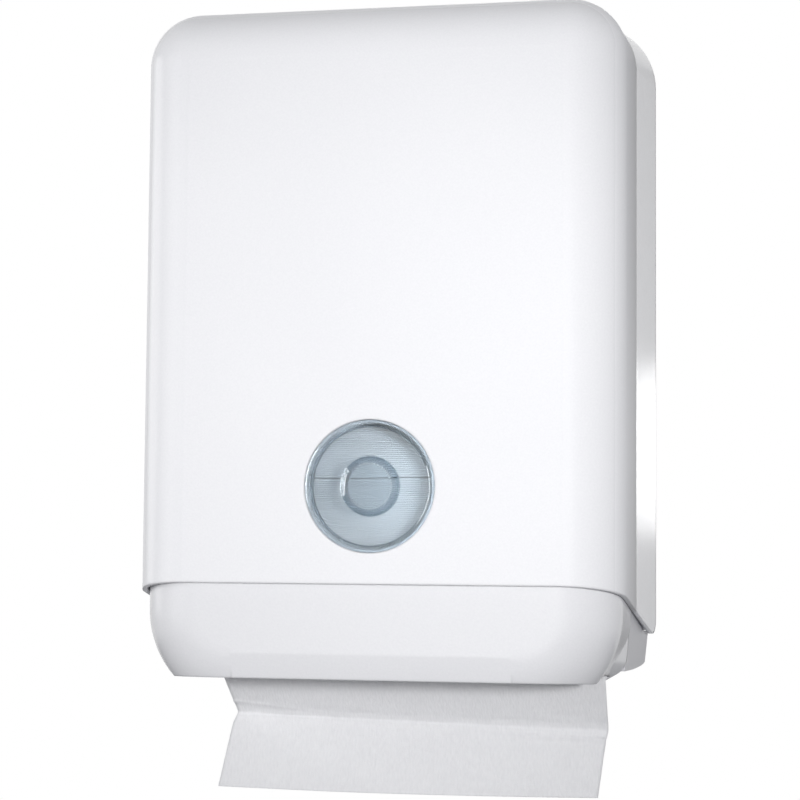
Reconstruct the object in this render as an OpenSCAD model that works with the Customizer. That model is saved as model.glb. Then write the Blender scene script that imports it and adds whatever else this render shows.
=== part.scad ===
// Folded towel dispenser for a wall: a rear body with a chin and a towel outlet,
// and a large cover with a round window that swings forward and down on two pins.
// Millimetres. The wall is the plane y = 0, the front faces -y and z is up.
// The origin is the middle of the four wall screws, on the wall.
// Depths are measured from the wall, and drops are measured down from the origin.

/* [Overall] */
// Width over the rear rim of the cover
cover_w = 301; // [296:1:316]
// Height of the rear rim above the middle of the wall screws
rim_top = 203.8; // [200:0.2:214]
// Depth from the wall to the front face of the cover
cover_depth = 129; // [126:1:136]
// Drop to the underside of the chin at its rear
chin_drop = 198; // [197:0.5:199]

/* [Cover] */
// Wall thickness of the cover
cover_wall = 2.4; // [2:0.1:3]
// Radius from the front face into the sides and the top
edge_round = 34; // [30:1:34]
// Radius of the upper corners, seen from the front
corner_round = 34; // [34:1:46]
// Depth of the flat skirt behind the rounded bulge
skirt_depth = 54; // [50:1:58]
// Lean of the sides and the top towards the front, in degrees
side_lean = 2.2; // [1:0.1:3]
// How far the skirt flares out from the crease to the rim
skirt_flare = 7; // [4:0.1:7.5]
// Drop to the lower edge of the front face
front_edge_drop = 141; // [139:0.5:143]
// Depth at which the lower edge bends down
edge_bend_depth = 84; // [78:1:90]
// Drop to the lower edge at that bend
bend_edge_drop = 150; // [148:0.5:151]
// Drop to the lower edge where the crease ends
side_edge_drop = 156.5; // [155:0.5:158.5]
// Thickness of the stiffening ribs inside the cover
rib_t = 1.6; // [1.2:0.1:2.4]
// Height of the stiffening ribs inside the cover
rib_h = 4; // [2:0.5:5]

/* [Window] */
// Outer diameter of the window's rim
window_d = 75; // [70:1:78]
// Drop to the middle of the window
window_drop = 86; // [82:1:92]
// Width of the rounded rim
rim_bead = 3.7; // [3:0.1:5]
// Depth of the dished floor behind the front face
dish_depth = 3; // [2:0.5:4]
// Thickness of the clear floor
lens_t = 1.8; // [1.4:0.1:2.4]
// Diameter of the raised centre at its foot
boss_foot_d = 35; // [30:1:40]
// Diameter of the raised centre at its top
boss_top_d = 27.6; // [22:0.2:28]
// Height of the raised centre over the floor
boss_h = 4.5; // [3:0.5:5]
// Thickness of the push-on ring
retainer_t = 3; // [2:0.5:3]
// Width of the push-on ring
retainer_w = 5.4; // [4:0.2:5.6]

/* [Rear body] */
// Thickness of the rear wall
back_t = 3; // [2.5:0.1:3.5]
// Thickness of the side walls
base_wall = 2.4; // [2:0.1:2.8]
// Gap between the rear body and the skirt at the wall
base_gap = 0.8; // [0.7:0.1:1.2]
// Depth of the stiffening flange round the upper part
flange_depth = 12; // [10:0.5:13]
// Drop to the underside of the rear body
base_drop = 191; // [190:0.5:192]
// Radius of the rear body's lower corners
base_foot_round = 6; // [5:0.5:9]
// How far the lower sides draw in towards the bottom
base_draft = 3.4; // [2.9:0.1:4]
// Distance between the wall screws, sideways
screw_span_x = 180; // [160:2:190]
// Distance between the wall screws, upwards
screw_span_z = 220; // [200:2:230]
// Diameter of the wall screw holes
screw_hole_d = 6; // [5:0.1:7]
// Diameter of the seats round the wall screw holes
screw_seat_d = 18; // [16:1:20]
// Height of the seats and ribs over the rear wall
seat_h = 3; // [2:0.5:4]

/* [Chin and outlet] */
// Gap between the chin and the cover's lower front edge
chin_gap = 0.7; // [0.6:0.1:1]
// Gap between the chin's sides and the inside of the cover
side_gap = 0.5; // [0.4:0.1:0.8]
// Thickness of the chin's walls
chin_wall = 2.4; // [2:0.1:2.8]
// How far the chin reaches up behind the cover
chin_tuck = 5.5; // [4:0.5:7]
// Drop to the underside of the chin at its front
chin_front_drop = 195; // [194:0.5:197]
// Radius between the chin's front and its sides
chin_edge_round = 38; // [37:0.5:38]
// Radius of the chin's sides as they turn under
chin_side_round = 60; // [56:2:66]
// Half the width of the chin's flat underside
chin_foot_x = 118; // [114:1:121]
// Radius at the ends of the flat underside
chin_foot_round = 12; // [9:0.5:14]
// Radius of the chin's lower corners at the rear
chin_flare_round = 12; // [8:1:14]
// How far forward the fuller rear corners run before they end
chin_flare_run = 30; // [24:2:36]
// From the chin's sides to the ends of the towel outlet
outlet_inset = 13.1; // [12.6:0.1:16]
// Clear depth of the towel outlet
outlet_gap = 24.6; // [22:0.2:26]
// Depth from the wall to the rear side of the outlet
outlet_depth = 60.7; // [60:0.1:62]
// Drop to the shelf that carries the towels
shelf_drop = 176; // [175:0.5:177]
// Thickness of the shelf and its lips
shelf_t = 2; // [1.6:0.1:2.2]
// Radius of the rounded lips of the outlet
lip_round = 6; // [5:0.5:7]

/* [Hinge] */
// Depth from the wall to the hinge pins
hinge_depth = 10.5; // [10:0.5:12]
// Drop to the hinge pins
hinge_drop = 161.5; // [161:0.5:163]
// Radius of the skirt's lower rear corner, round the pin
hinge_corner = 9; // [8.5:0.5:9.5]
// Diameter of the hinge pins
pin_d = 5; // [4:0.5:5.5]
// Running clearance of the pin in its bush, on the radius
pin_fit = 0.06; // [0.03:0.01:0.1]
// Outer diameter of the hinge bushes
bush_d = 9; // [8:0.5:9.5]
// Diameter of the cover's hinge hubs
hub_d = 14; // [12:0.5:15]
// Thickness of the rear body's hinge ears
ear_t = 4; // [3:0.5:5]

/* [Lock] */
// Depth from the wall to the axis of the lock
lock_depth = 28; // [27:0.5:32]
// Diameter of the lock body
lock_d = 16; // [14:0.5:17]
// Length of the lock body under its flange
lock_len = 18; // [17:0.5:20]
// Diameter of the turning core
plug_d = 10; // [8:0.5:11]
// Length of the lock's tongue from its axis
cam_len = 24; // [22:0.5:26]
// Width of the lock's tongue
cam_w = 12; // [10:0.5:13]
// Thickness of the lock's tongue
cam_t = 2; // [1.5:0.5:2.5]
// Gap between the tongue's edge and the catch when it is locked
catch_gap = 1; // [0.6:0.1:1.5]

/* [Towels] */
// How much narrower a folded towel is than the outlet
towel_play = 27; // [23:1:35]
// From the cover's front face back to the stack of towels
stack_space = 21; // [20:1:25]
// Height of the stack of towels
stack_h = 240; // [120:10:300]
// Where the towels sit: 0 in the middle, 1 against the right end of the outlet
towel_side = 0.925; // [0:0.025:0.95]
// Thickness of the hanging towel
sheet_t = 0.9; // [0.6:0.1:1.2]

/* [Hidden] */
$fn = 96;
far = 400;
seat_gap = 0.3;
fit = 0.05;

// The cover's outline: the corner axis, the rim and the crease
rim_gap = hinge_depth - hinge_corner;
corner_x = cover_w / 2 - skirt_flare - corner_round;
corner_z = rim_top - skirt_flare - corner_round;
side_z = hinge_drop + hinge_corner + 3;
face_in = cover_depth - cover_wall;

// The rear body's outline
base_half = cover_w / 2 - cover_wall - base_gap;
chin_half = cover_w / 2 - skirt_flare - cover_wall - side_gap;
base_top = rim_top - cover_wall - base_gap;
base_corner = corner_round + skirt_flare - cover_wall - base_gap + 5;
base_slope = (base_half - chin_half) / skirt_depth;
cheek_drop = side_edge_drop - 12;
rib_x = 0.375 * base_half;

// The chin is a drum round the hinge, just inside the cover's lower front edge
chin_r = norm([face_in - hinge_depth, hinge_drop - front_edge_drop]) - chin_gap;
chin_edge = chin_edge_round;
chin_front = face_in - side_gap;
chin_turn = bend_edge_drop + 7;
seam_gap = 0.2;
chin_rear = skirt_depth + seam_gap;
chin_flare_scale = 0.9;

// The shelf's half width where the chin turns under
shelf_half = chin_half - chin_side_round - seat_gap - 2
    + sqrt(pow(chin_side_round - chin_wall, 2) - pow(shelf_drop + shelf_t - chin_turn, 2));
shelf_front = hinge_depth + chin_r - chin_wall - 4;
outlet_w = 2 * (chin_half - outlet_inset);
outlet_front = outlet_depth + outlet_gap;
lip_bottom = chin_drop - 4.5;
slot_fit = 0.5;
tie_screw_x = chin_half - 45.6;
tie_screw_d = [8.5, shelf_front - 5];
tie_screw_r = 1.5;
tie_head_r = 2.8;
tie_boss_r = 3.8;

// The hinge, from the middle of the pin outwards
hinge_at = [0, -hinge_depth, -hinge_drop];
hub_in = chin_half - 3.3;
ear_out = hub_in - 1.5;
ear_in = ear_out - ear_t;
bush_flange_t = 1.5;
pin_head_t = 2;
pin_head_r = pin_d / 2 + 2;
pin_in = ear_in - bush_flange_t - seat_gap - pin_head_t;
pin_out = cover_w / 2 - cover_wall - 0.1;

// The towel rails
rail_x = base_half - 15.8;
rail_t = 2;
rail_front = 60;
rail_seat = back_t + 5;
rail_flange = 10;
rail_low = -shelf_drop + 29;
rail_high = rim_top - 98.8;
rail_screw_z = [rail_low + 27, rail_high - 30];
rail_screw_x = rail_x + rail_t + rail_flange / 2;
rail_window_pitch = (rail_high - rail_low) / 3.6;

// The lock
lock_seat_z = rim_top - 1;
lock_seat_r = lock_d / 2 + 6;
lock_flange_t = 2;
nut_t = 4;
nut_top = lock_seat_z - 8;
cam_top = lock_seat_z - lock_len - 1.5;
cam_bottom = cam_top - cam_t;
key_w = 1.6;
key_l = 7;
keeper_x = [12, 26];
keeper_t = 2;
keeper_front = lock_depth + cam_w / 2 + catch_gap;
keeper_low = cam_bottom - 7;
keeper_screw_z = keeper_low - 11;
keeper_screw_x = [14, 26];

// The buffers
buffer_x = corner_x - 19.5;
buffer_z = base_top - base_wall - 5.5;
buffer_t = 3;
buffer_r = 5;
stem_r = 2;

// The towels
stack_rear = 14;
towel_w = outlet_w - towel_play;
towel_fold = cover_depth - stack_space - stack_rear;
towel_shift = towel_side * towel_play / 2;
stack_low = -shelf_drop + seat_gap;

// An outline of depth and height, drawn as y and z, pulled along x from x0 to x1
module along_x(x0, x1) {
    translate([x0, 0, 0]) rotate([90, 0, 90]) linear_extrude(x1 - x0) children();
}

// An outline of width and height, drawn as x and z, pulled from depth d0 to depth d1
module along_depth(d0, d1) {
    translate([0, -d0, 0]) rotate([90, 0, 0]) linear_extrude(d1 - d0) children();
}

// A block between two corners, given as x, depth and z
module block(a, b) {
    translate([a[0], -b[1], a[2]]) cube([b[0] - a[0], b[1] - a[1], b[2] - a[2]]);
}

// A rod along the depth, and one along x
module rod_depth(x, z, d0, d1, r) {
    translate([x, -d0, z]) rotate([90, 0, 0]) cylinder(r = r, h = d1 - d0);
}

module rod_x(x0, x1, r) {
    translate([x0, -hinge_depth, -hinge_drop]) rotate([0, 90, 0])
        cylinder(r = r, h = x1 - x0);
}

module both_sides() {
    children();
    mirror([1, 0, 0]) children();
}

// Half of a plan that is rounded at the front. Half is the width at the crease and
// the side leans in from there. The depth is y.
module rounded_half(half, rear, front, r) {
    lean = tan(side_lean);
    middle = [half - lean * (front - r - skirt_depth) - r / cos(side_lean), front - r];
    touch = middle + r * [cos(side_lean), sin(side_lean)];
    polygon([[0, rear], [half - lean * (rear - skirt_depth), rear], touch, middle,
        [middle[0], front], [0, front]]);
    intersection() {
        translate(middle) circle(r);
        polygon([middle, middle + 2 * (touch - middle), middle + [2 * r, 2 * r],
            middle + [0, 2 * r]]);
    }
}

// Half of the cover's cross-section, from the corner axis outwards.
// Inset draws it thinner by that much, and rear is the depth where it starts.
module cover_half_section(inset, rear) {
    crease = corner_round - inset;
    rim = corner_round + skirt_flare - inset;
    polygon([[0, rear], [rim, rear], [rim, rim_gap], [crease, skirt_depth],
        [0, skirt_depth]]);
    intersection() {
        rounded_half(crease, skirt_depth, cover_depth - inset, edge_round - inset);
        square(far);
    }
}

module cover_wall_section() {
    difference() {
        cover_half_section(0, rim_gap);
        cover_half_section(cover_wall, rim_gap - 1);
        translate([-1, 0]) square([1, far]);
    }
}

// The wall section swept up both sides, round the corners and along the top
module cover_shell() {
    both_sides() {
        translate([corner_x, 0, -side_z]) mirror([0, 1, 0])
            linear_extrude(side_z + corner_z) cover_wall_section();
        translate([corner_x, 0, corner_z]) rotate([90, 0, 0])
            rotate_extrude(angle = 90) cover_wall_section();
    }
    translate([corner_x, 0, corner_z]) mirror([0, 1, 0]) rotate([0, -90, 0])
        linear_extrude(2 * corner_x) cover_wall_section();
    block([-corner_x, face_in, -side_z], [corner_x, cover_depth, corner_z]);
}

// What is cut away under the cover's lower edge, as y and z. The edge drops in three
// straight runs from the front to the skirt and ends in the round corner at the pin.
module below_cover_edge() {
    bend = [-edge_bend_depth, -bend_edge_drop];
    crease_end = [-skirt_depth, -side_edge_drop];
    hub = [-hinge_depth, -hinge_drop];
    away = crease_end - hub;
    angle = atan2(away[1], away[0]) + acos(hinge_corner / norm(away));
    touch = hub + hinge_corner * [cos(angle), sin(angle)];
    difference() {
        polygon([[-cover_depth - 5, -front_edge_drop], [-cover_depth, -front_edge_drop],
            bend, crease_end, touch, hub, [5, -hinge_drop], [5, -far], [-cover_depth - 5, -far]]);
        translate(hub) circle(hinge_corner);
    }
}

module front_cover() color([0.95, 0.95, 0.96]) {
    rib_low = -front_edge_drop + 26;
    rib_high = corner_z - 4;
    rib_out = corner_x - 39.5;
    difference() {
        union() {
            difference() {
                cover_shell();
                along_x(-far, far) below_cover_edge();
            }
            // Hinge hubs on the inside of the skirt
            both_sides() rod_x(hub_in, cover_w / 2 - cover_wall, hub_d / 2);
            // Seat for the lock through the top of the skirt
            translate([0, -lock_depth, nut_top]) cylinder(r = lock_seat_r, h = lock_seat_z - nut_top);
            // Stops that meet the rubber buffers
            both_sides() block([buffer_x - 6, flange_depth + buffer_t + seat_gap, buffer_z - 4],
                [buffer_x + 6, flange_depth + buffer_t + seat_gap + 2, base_top + base_gap + 0.4]);
            // Stiffening ribs behind the front face
            both_sides() block([rib_out, face_in - rib_h, rib_low],
                [rib_out + rib_t, face_in + 1, rib_high]);
            for (z = [0, 60, 120])
                block([-rib_out - 0.5, face_in - rib_h, z], [rib_out + 0.5, face_in + 1, z + rib_t]);
        }
        // Window opening with its shallow seat
        rod_depth(0, -window_drop, face_in - 1, cover_depth + 1, window_d / 2 - 1.5);
        rod_depth(0, -window_drop, cover_depth - 1.6, cover_depth + 1, window_d / 2 + 0.2);
        // Lock opening
        translate([0, -lock_depth, nut_top - 1]) cylinder(r = lock_d / 2 + fit, h = 20);
        // Blind holes for the hinge pins
        both_sides() rod_x(hub_in - 1, pin_out, pin_d / 2);
    }
}

// The window's section: radius as x, depth as y
module lens_section() {
    rim_r = window_d / 2;
    tube_out = rim_r - 1.7;
    tube_in = rim_r - rim_bead;
    floor_front = cover_depth - dish_depth;
    floor_back = floor_front - lens_t;
    foot = boss_foot_d / 2;
    top = boss_top_d / 2;
    bead_r = rim_bead / 2;
    side = [foot - top, boss_h] / norm([foot - top, boss_h]);
    edge_r = 1.4;
    edge_at = [foot - (boss_h - edge_r) * side[0] / side[1] - edge_r / side[1],
        floor_front + boss_h - edge_r];
    difference() {
        union() {
            translate([0, floor_back]) square([tube_in + 0.5, lens_t]);
            polygon([[0, floor_front], [foot, floor_front],
                edge_at + edge_r * [side[1], side[0]], edge_at, edge_at + [0, edge_r],
                [0, floor_front + boss_h]]);
            translate(edge_at) circle(edge_r);
        }
        polygon([[-1, floor_back - 1], [foot - lens_t, floor_back - 1], [foot - lens_t, floor_back],
            [top - lens_t, floor_front + boss_h - lens_t], [-1, floor_front + boss_h - lens_t]]);
        translate([-5, 0]) square([5, far]);
    }
    translate([tube_in, floor_back - 2.7])
        square([tube_out - tube_in, cover_depth - 1.5 - floor_back + 2.7]);
    intersection() {
        translate([rim_r - bead_r, cover_depth - 1.5]) circle(bead_r);
        translate([0, cover_depth - 1.5]) square([far, bead_r]);
    }
}

module window_lens() color([0.55, 0.65, 0.72, 0.5])
    translate([0, 0, -window_drop]) rotate([90, 0, 0]) rotate_extrude() lens_section();

// Push-on ring with three grips, held against the inside of the cover
module lens_retainer() color([0.9, 0.9, 0.9]) {
    inner = window_d / 2 - 1.7 + fit;
    difference() {
        rod_depth(0, -window_drop, face_in - retainer_t, face_in, inner + retainer_w);
        rod_depth(0, -window_drop, face_in - retainer_t - 1, face_in + 1, inner);
        for (a = [90, 210, 330])
            translate([0, -face_in, -window_drop]) rotate([0, a, 0])
                block([inner - 1, -1, -4], [inner + 1.5, retainer_t - 1, 4]);
    }
}

// The rear body's outer form, inset by a wall. Deep runs past the front edge.
module base_elevation(inset) {
    half = base_half - inset;
    top = base_top - inset;
    r = base_corner - inset;
    low = -hinge_drop + hinge_corner;
    foot = -base_drop + inset;
    fr = base_foot_round - inset;
    translate([-half, low]) square([2 * half, top - r - low]);
    translate([-half + r, low]) square([2 * (half - r), top - low]);
    for (s = [-1, 1]) {
        translate([s * (half - r), top - r]) circle(r);
        translate([s * (half - base_draft - fr + 0.4), foot + fr]) circle(fr);
    }
    translate([-half, foot + fr]) square([2 * half, low - foot - fr]);
    translate([-half + base_draft + fr, foot]) square([2 * (half - base_draft - fr), fr]);
}

module base_form(inset, rear, front) {
    draw_in = base_draft / (base_drop - base_foot_round - hinge_drop + hinge_corner);
    difference() {
        intersection() {
            along_depth(rear, front) base_elevation(inset);
            translate([0, 0, -far]) linear_extrude(2 * far)
                polygon([for (s = [-1, 1], d = s < 0 ? [front, rear] : [rear, front])
                    [s * (base_half - inset - base_slope * d), -d]]);
            along_x(-far, far) polygon([[-rear, base_top - inset - base_slope * rear],
                [-front, base_top - inset - base_slope * front], [-front, -far],
                [-rear, -far]]);
        }
        // The lower sides lean in twice: towards the front and towards the bottom
        both_sides() translate([base_half - inset, 0, -hinge_drop + hinge_corner])
            rotate([0, asin(draw_in / norm([1, base_slope, draw_in])), -atan(base_slope)])
                translate([0, -far, -far]) cube(2 * far);
    }
}

module screw_seats() {
    for (x = [-1, 1], z = [-1, 1])
        rod_depth(x * screw_span_x / 2, z * screw_span_z / 2, back_t - 1, back_t + seat_h,
            screw_seat_d / 2);
}

module screw_holes() {
    for (x = [-1, 1], z = [-1, 1])
        rod_depth(x * screw_span_x / 2, z * screw_span_z / 2, -1, back_t + seat_h + 1,
            screw_hole_d / 2);
}

module hinge_ear() {
    block([ear_in, back_t - 1, -hinge_drop - 9], [ear_out, hinge_depth, -hinge_drop + 9]);
    rod_x(ear_in, ear_out, 9);
}

module back_plate() color([0.93, 0.93, 0.94]) {
    difference() {
        union() {
            difference() {
                base_form(0, 0, skirt_depth);
                base_form(base_wall, back_t, skirt_depth + 1);
                // The side walls are deep only in the lower part
                along_x(-far, far) polygon([[-flange_depth, -cheek_drop + 44.5], [-flange_depth, far],
                    [-far, far], [-far, -cheek_drop], [-skirt_depth, -cheek_drop]]);
            }
            screw_seats();
            // Ribs on the rear wall
            for (x = [-rib_x, rib_x])
                block([x - 1, back_t - 1, -base_drop + 1], [x + 1, back_t + seat_h, base_top - 1]);
            for (z = [-60, 20, base_top - 55.6])
                block([-base_half + 4, back_t - 1, z - 1], [base_half - 4, back_t + seat_h, z + 1]);
            both_sides() {
                hinge_ear();
                // Posts for the towel rails
                for (z = rail_screw_z)
                    rod_depth(rail_screw_x, z, back_t - 1, rail_seat, 4.5);
                // Lugs for the rubber buffers
                block([buffer_x - 7, flange_depth - base_wall, buffer_z - 5],
                    [buffer_x + 7, flange_depth, base_top - base_slope * flange_depth - 0.5]);
                // Posts for the shelf's rear screws
                translate([tie_screw_x, -tie_screw_d[0], -base_drop + 1])
                    cylinder(r = tie_boss_r, h = base_drop - 1 - shelf_drop - shelf_t);
            }
        }
        screw_holes();
        both_sides() {
            // Open slots that the cover's hinge hubs slide into from behind
            rod_x(ear_out + 0.4, base_half + 2, hub_d / 2 + 0.6);
            block([ear_out + 0.4, -1, -hinge_drop - hub_d / 2 - 0.6],
                [base_half + 2, hinge_depth, -hinge_drop + hub_d / 2 + 0.6]);
            rod_x(ear_in - 1, ear_out + 1, bush_d / 2 + fit);
            for (z = rail_screw_z)
                rod_depth(rail_screw_x, z, 1.5, rail_seat + 1, tie_screw_r);
            rod_depth(buffer_x, buffer_z, flange_depth - base_wall - 1, flange_depth + 1,
                stem_r + fit);
            translate([tie_screw_x, -tie_screw_d[0], -shelf_drop - shelf_t - 8])
                cylinder(r = tie_screw_r, h = 10);
        }
        for (x = keeper_screw_x) rod_depth(x, keeper_screw_z, 1, back_t + 1, tie_screw_r);
    }
}

// The chin's underside from the front: flat, then rounded up towards the side arcs
module chin_underside(inset) {
    low = -chin_drop - 1 + inset;
    r = chin_foot_round - inset;
    middle = [chin_foot_x, low + r];
    end = middle + r * [sin(30), -cos(30)] + 60 * [cos(30), sin(30)];
    half = concat([[0, low]], [for (a = [0:5:30]) middle + r * [sin(a), -cos(a)]], [end, [far, 0]]);
    polygon(concat(half, [for (i = [len(half) - 1:-1:1]) [-half[i][0], half[i][1]]]));
}

// The chin's rounded nose: straight above, swept round the large arcs below
module chin_nose(inset, rear) {
    axis = chin_half - chin_side_round;
    big = chin_side_round - inset;
    front = chin_front - inset;
    edge = chin_edge - inset;
    both_sides() translate([axis, 0, -chin_turn]) {
        mirror([0, 1, 0]) linear_extrude(60) rounded_half(big, rear, front, edge);
        rotate([90, 90, 0]) rotate_extrude(angle = 90) rounded_half(big, rear, front, edge);
    }
    block([-axis, rear, -chin_turn - big], [axis, front, -chin_turn + 60]);
}

// The chin's outline at the rear, which carries on the rear body's drawn-in sides
module chin_rear_outline() {
    offset(r = chin_flare_round, $fn = 40) offset(delta = -chin_flare_round) intersection() {
        chin_underside(0);
        polygon([[0, -chin_turn - 2], [chin_half - 0.1 * base_draft, -chin_turn - 2],
            [chin_half - base_draft, -base_drop], [chin_half - base_draft, -chin_drop - 1],
            [0, -chin_drop - 1]]);
    }
}

// The lower corners fill out towards the rear, until they meet the rear body's sides
module chin_flare() {
    axis = chin_half - chin_side_round;
    both_sides() hull() for (end = [[0, 1], [chin_flare_run, chin_flare_scale]])
        translate([axis, -chin_rear - end[0], -chin_turn]) scale([end[1], 1, end[1]])
            translate([-axis, 0, chin_turn]) along_depth(0, 0.1) intersection() {
                chin_rear_outline();
                translate([axis, -far]) square(far);
            }
}

// The cover's lower edge passes the chin on a circle round the hinge
module chin_form(inset, rear) {
    intersection() {
        union() {
            chin_nose(inset, rear);
            if (inset == 0) chin_flare();
        }
        rod_x(-chin_half, chin_half, chin_r - inset, $fn = 192);
        along_depth(rear - 5, far) chin_underside(inset);
        along_x(-far, far) polygon([[-rear, 0], [-chin_front, 0],
            [-chin_front, -chin_front_drop + inset], [-rear, -chin_drop + inset]]);
    }
}

module chin_panel() color([0.95, 0.95, 0.96]) {
    rear_wall_top = -base_drop + base_wall + 3;
    difference() {
        union() {
            difference() {
                chin_form(0, chin_rear);
                chin_form(chin_wall, chin_rear - 1);
                // The upper edge stays just above the cover's lower edge
                along_x(-far, far) polygon([[-far, -front_edge_drop + chin_tuck],
                    [-cover_depth, -front_edge_drop + chin_tuck],
                    [-edge_bend_depth, -bend_edge_drop + chin_tuck],
                    [-skirt_depth, -side_edge_drop + chin_tuck],
                    [0, -side_edge_drop + chin_tuck], [0, far], [-far, far]]);
            }
            // Low wall at the rear, against the rear body
            intersection() {
                chin_form(0.5, chin_rear);
                block([-far, chin_rear, -chin_drop - 1], [far, chin_rear + chin_wall, rear_wall_top]);
            }
            // Posts for the shelf's front screws
            both_sides() translate([tie_screw_x, -tie_screw_d[1], -chin_front_drop + 1])
                cylinder(r = tie_boss_r, h = chin_front_drop - 1 - shelf_drop - shelf_t);
        }
        // Slot for the outlet's lips
        block([-outlet_w / 2 - slot_fit, outlet_depth - shelf_t - slot_fit, -chin_drop - 1],
            [outlet_w / 2 + slot_fit, outlet_front + shelf_t + slot_fit, -chin_drop + 14]);
        both_sides() translate([tie_screw_x, -tie_screw_d[1], -shelf_drop - shelf_t - 8])
            cylinder(r = tie_screw_r, h = 10);
    }
}

// One lip of the outlet, as depth and height: the shelf rolls over into it
module lip_section() {
    difference() {
        union() {
            translate([-lip_round, -lip_round]) intersection() {
                circle(lip_round);
                square(lip_round);
            }
            translate([-shelf_t, shelf_drop - lip_bottom])
                square([shelf_t, lip_bottom - shelf_drop - lip_round + 0.01]);
        }
        translate([-lip_round, -lip_round]) circle(lip_round - shelf_t);
    }
}

module throat_plate() color([0.9, 0.9, 0.91]) {
    roll = lip_round - 0.01;
    corner = chin_edge;
    plan_half = shelf_half;
    difference() {
        translate([0, 0, -shelf_drop - shelf_t]) linear_extrude(shelf_t) {
            translate([-plan_half, -shelf_front + corner])
                square([2 * plan_half, shelf_front - corner - back_t - 1]);
            translate([-plan_half + corner, -shelf_front])
                square([2 * (plan_half - corner), corner + 1]);
            for (s = [-1, 1]) translate([s * (plan_half - corner), -shelf_front + corner])
                circle(corner);
        }
        block([-outlet_w / 2, outlet_depth - roll, -shelf_drop - shelf_t - 1],
            [outlet_w / 2, outlet_front + roll, -shelf_drop + 1]);
        for (x = [-rib_x, rib_x]) block([x - 2, 0, -shelf_drop - shelf_t - 1],
            [x + 2, back_t + seat_h + 1, -shelf_drop + 1]);
        for (x = [-tie_screw_x, tie_screw_x], d = tie_screw_d)
            translate([x, -d, -shelf_drop - shelf_t - 1]) cylinder(r = tie_screw_r + 0.2, h = 10);
    }
    along_x(-outlet_w / 2, outlet_w / 2) {
        translate([-outlet_depth, -shelf_drop]) mirror([1, 0]) lip_section();
        translate([-outlet_front, -shelf_drop]) lip_section();
    }
}

// A small round-headed screw, head up: the head's seat is at z = 0
module small_screw(length) {
    translate([0, 0, -length]) cylinder(r = tie_screw_r - fit, h = length + 0.5);
    difference() {
        cylinder(r1 = tie_head_r, r2 = tie_head_r - 0.6, h = 2);
        for (a = [0, 90]) rotate([0, 0, a]) translate([-1.7, -0.35, 1.1]) cube([3.4, 0.7, 2]);
    }
}

module throat_screws() color([0.75, 0.76, 0.78])
    for (x = [-tie_screw_x, tie_screw_x], d = tie_screw_d)
        translate([x, -d, -shelf_drop]) small_screw(shelf_t + 7);

// Side rail: a flange on the rear body's posts and a wall with a rounded front bead
module towel_guide_right() color([0.9, 0.9, 0.91]) {
    difference() {
        union() {
            block([rail_x, rail_seat, rail_low], [rail_x + rail_t, rail_front, rail_high]);
            block([rail_x, rail_seat, rail_low],
                [rail_x + rail_t + rail_flange, rail_seat + rail_t, rail_high]);
            translate([rail_x + rail_t / 2 + 0.5, -rail_front, rail_low])
                cylinder(r = rail_t / 2 + 0.5, h = rail_high - rail_low);
        }
        for (z = rail_screw_z)
            rod_depth(rail_screw_x, z, rail_seat - 1, rail_seat + rail_t + 1, tie_screw_r + 0.2);
        // Long windows that lighten the rail
        for (i = [0:2]) translate([0, 0, rail_low + 17 + i * rail_window_pitch])
            block([rail_x - 1, rail_seat + 14, 0],
                [rail_x + rail_t + 1, rail_front - 12, rail_window_pitch - 20]);
    }
}

module towel_guide_left() mirror([1, 0, 0]) towel_guide_right();

module guide_screws() color([0.75, 0.76, 0.78])
    both_sides() for (z = rail_screw_z)
        translate([rail_screw_x, -rail_seat - rail_t, z]) rotate([90, 0, 0])
            small_screw(rail_t + 5.5);

module hinge_bush_right() color([0.85, 0.83, 0.76]) {
    difference() {
        union() {
            rod_x(ear_in, ear_out + 1, bush_d / 2);
            rod_x(ear_in - bush_flange_t, ear_in, bush_d / 2 + 1.8);
        }
        rod_x(ear_in - bush_flange_t - 1, ear_out + 2, pin_d / 2 + pin_fit);
    }
}

module hinge_bush_left() mirror([1, 0, 0]) hinge_bush_right();

module hinge_pin_right() color([0.72, 0.73, 0.75]) {
    rod_x(pin_in, pin_in + pin_head_t, pin_head_r);
    rod_x(pin_in + pin_head_t - 0.5, pin_out - 0.2, pin_d / 2);
}

module hinge_pin_left() mirror([1, 0, 0]) hinge_pin_right();

// Push-in rubber pads: a round face, a stem through the lug and a barb behind it
module cover_buffers() color([0.25, 0.25, 0.26])
    both_sides() {
        rod_depth(buffer_x, buffer_z, flange_depth, flange_depth + buffer_t, buffer_r);
        rod_depth(buffer_x, buffer_z, flange_depth - base_wall - 1, flange_depth + 1, stem_r);
        rod_depth(buffer_x, buffer_z, flange_depth - base_wall - 2.2,
            flange_depth - base_wall - 0.2, stem_r + 0.7);
    }

// Bent steel catch: a foot on the rear wall, an arm and an upturned end
module lock_keeper() color([0.7, 0.71, 0.73]) {
    difference() {
        union() {
            block([keeper_x[0] - 5, back_t, keeper_screw_z - 7],
                [keeper_x[1] + 5, back_t + keeper_t, keeper_low + keeper_t]);
            block([keeper_x[0], back_t, keeper_low],
                [keeper_x[1], keeper_front + keeper_t, keeper_low + keeper_t]);
            block([keeper_x[0], keeper_front, keeper_low],
                [keeper_x[1], keeper_front + keeper_t, cam_top + 2]);
        }
        for (x = keeper_screw_x)
            rod_depth(x, keeper_screw_z, back_t - 1, back_t + keeper_t + 1, tie_screw_r + 0.2);
    }
}

module keeper_screws() color([0.75, 0.76, 0.78])
    for (x = keeper_screw_x) translate([x, -back_t - keeper_t, keeper_screw_z])
        rotate([90, 0, 0]) small_screw(keeper_t + 1.6);

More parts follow.
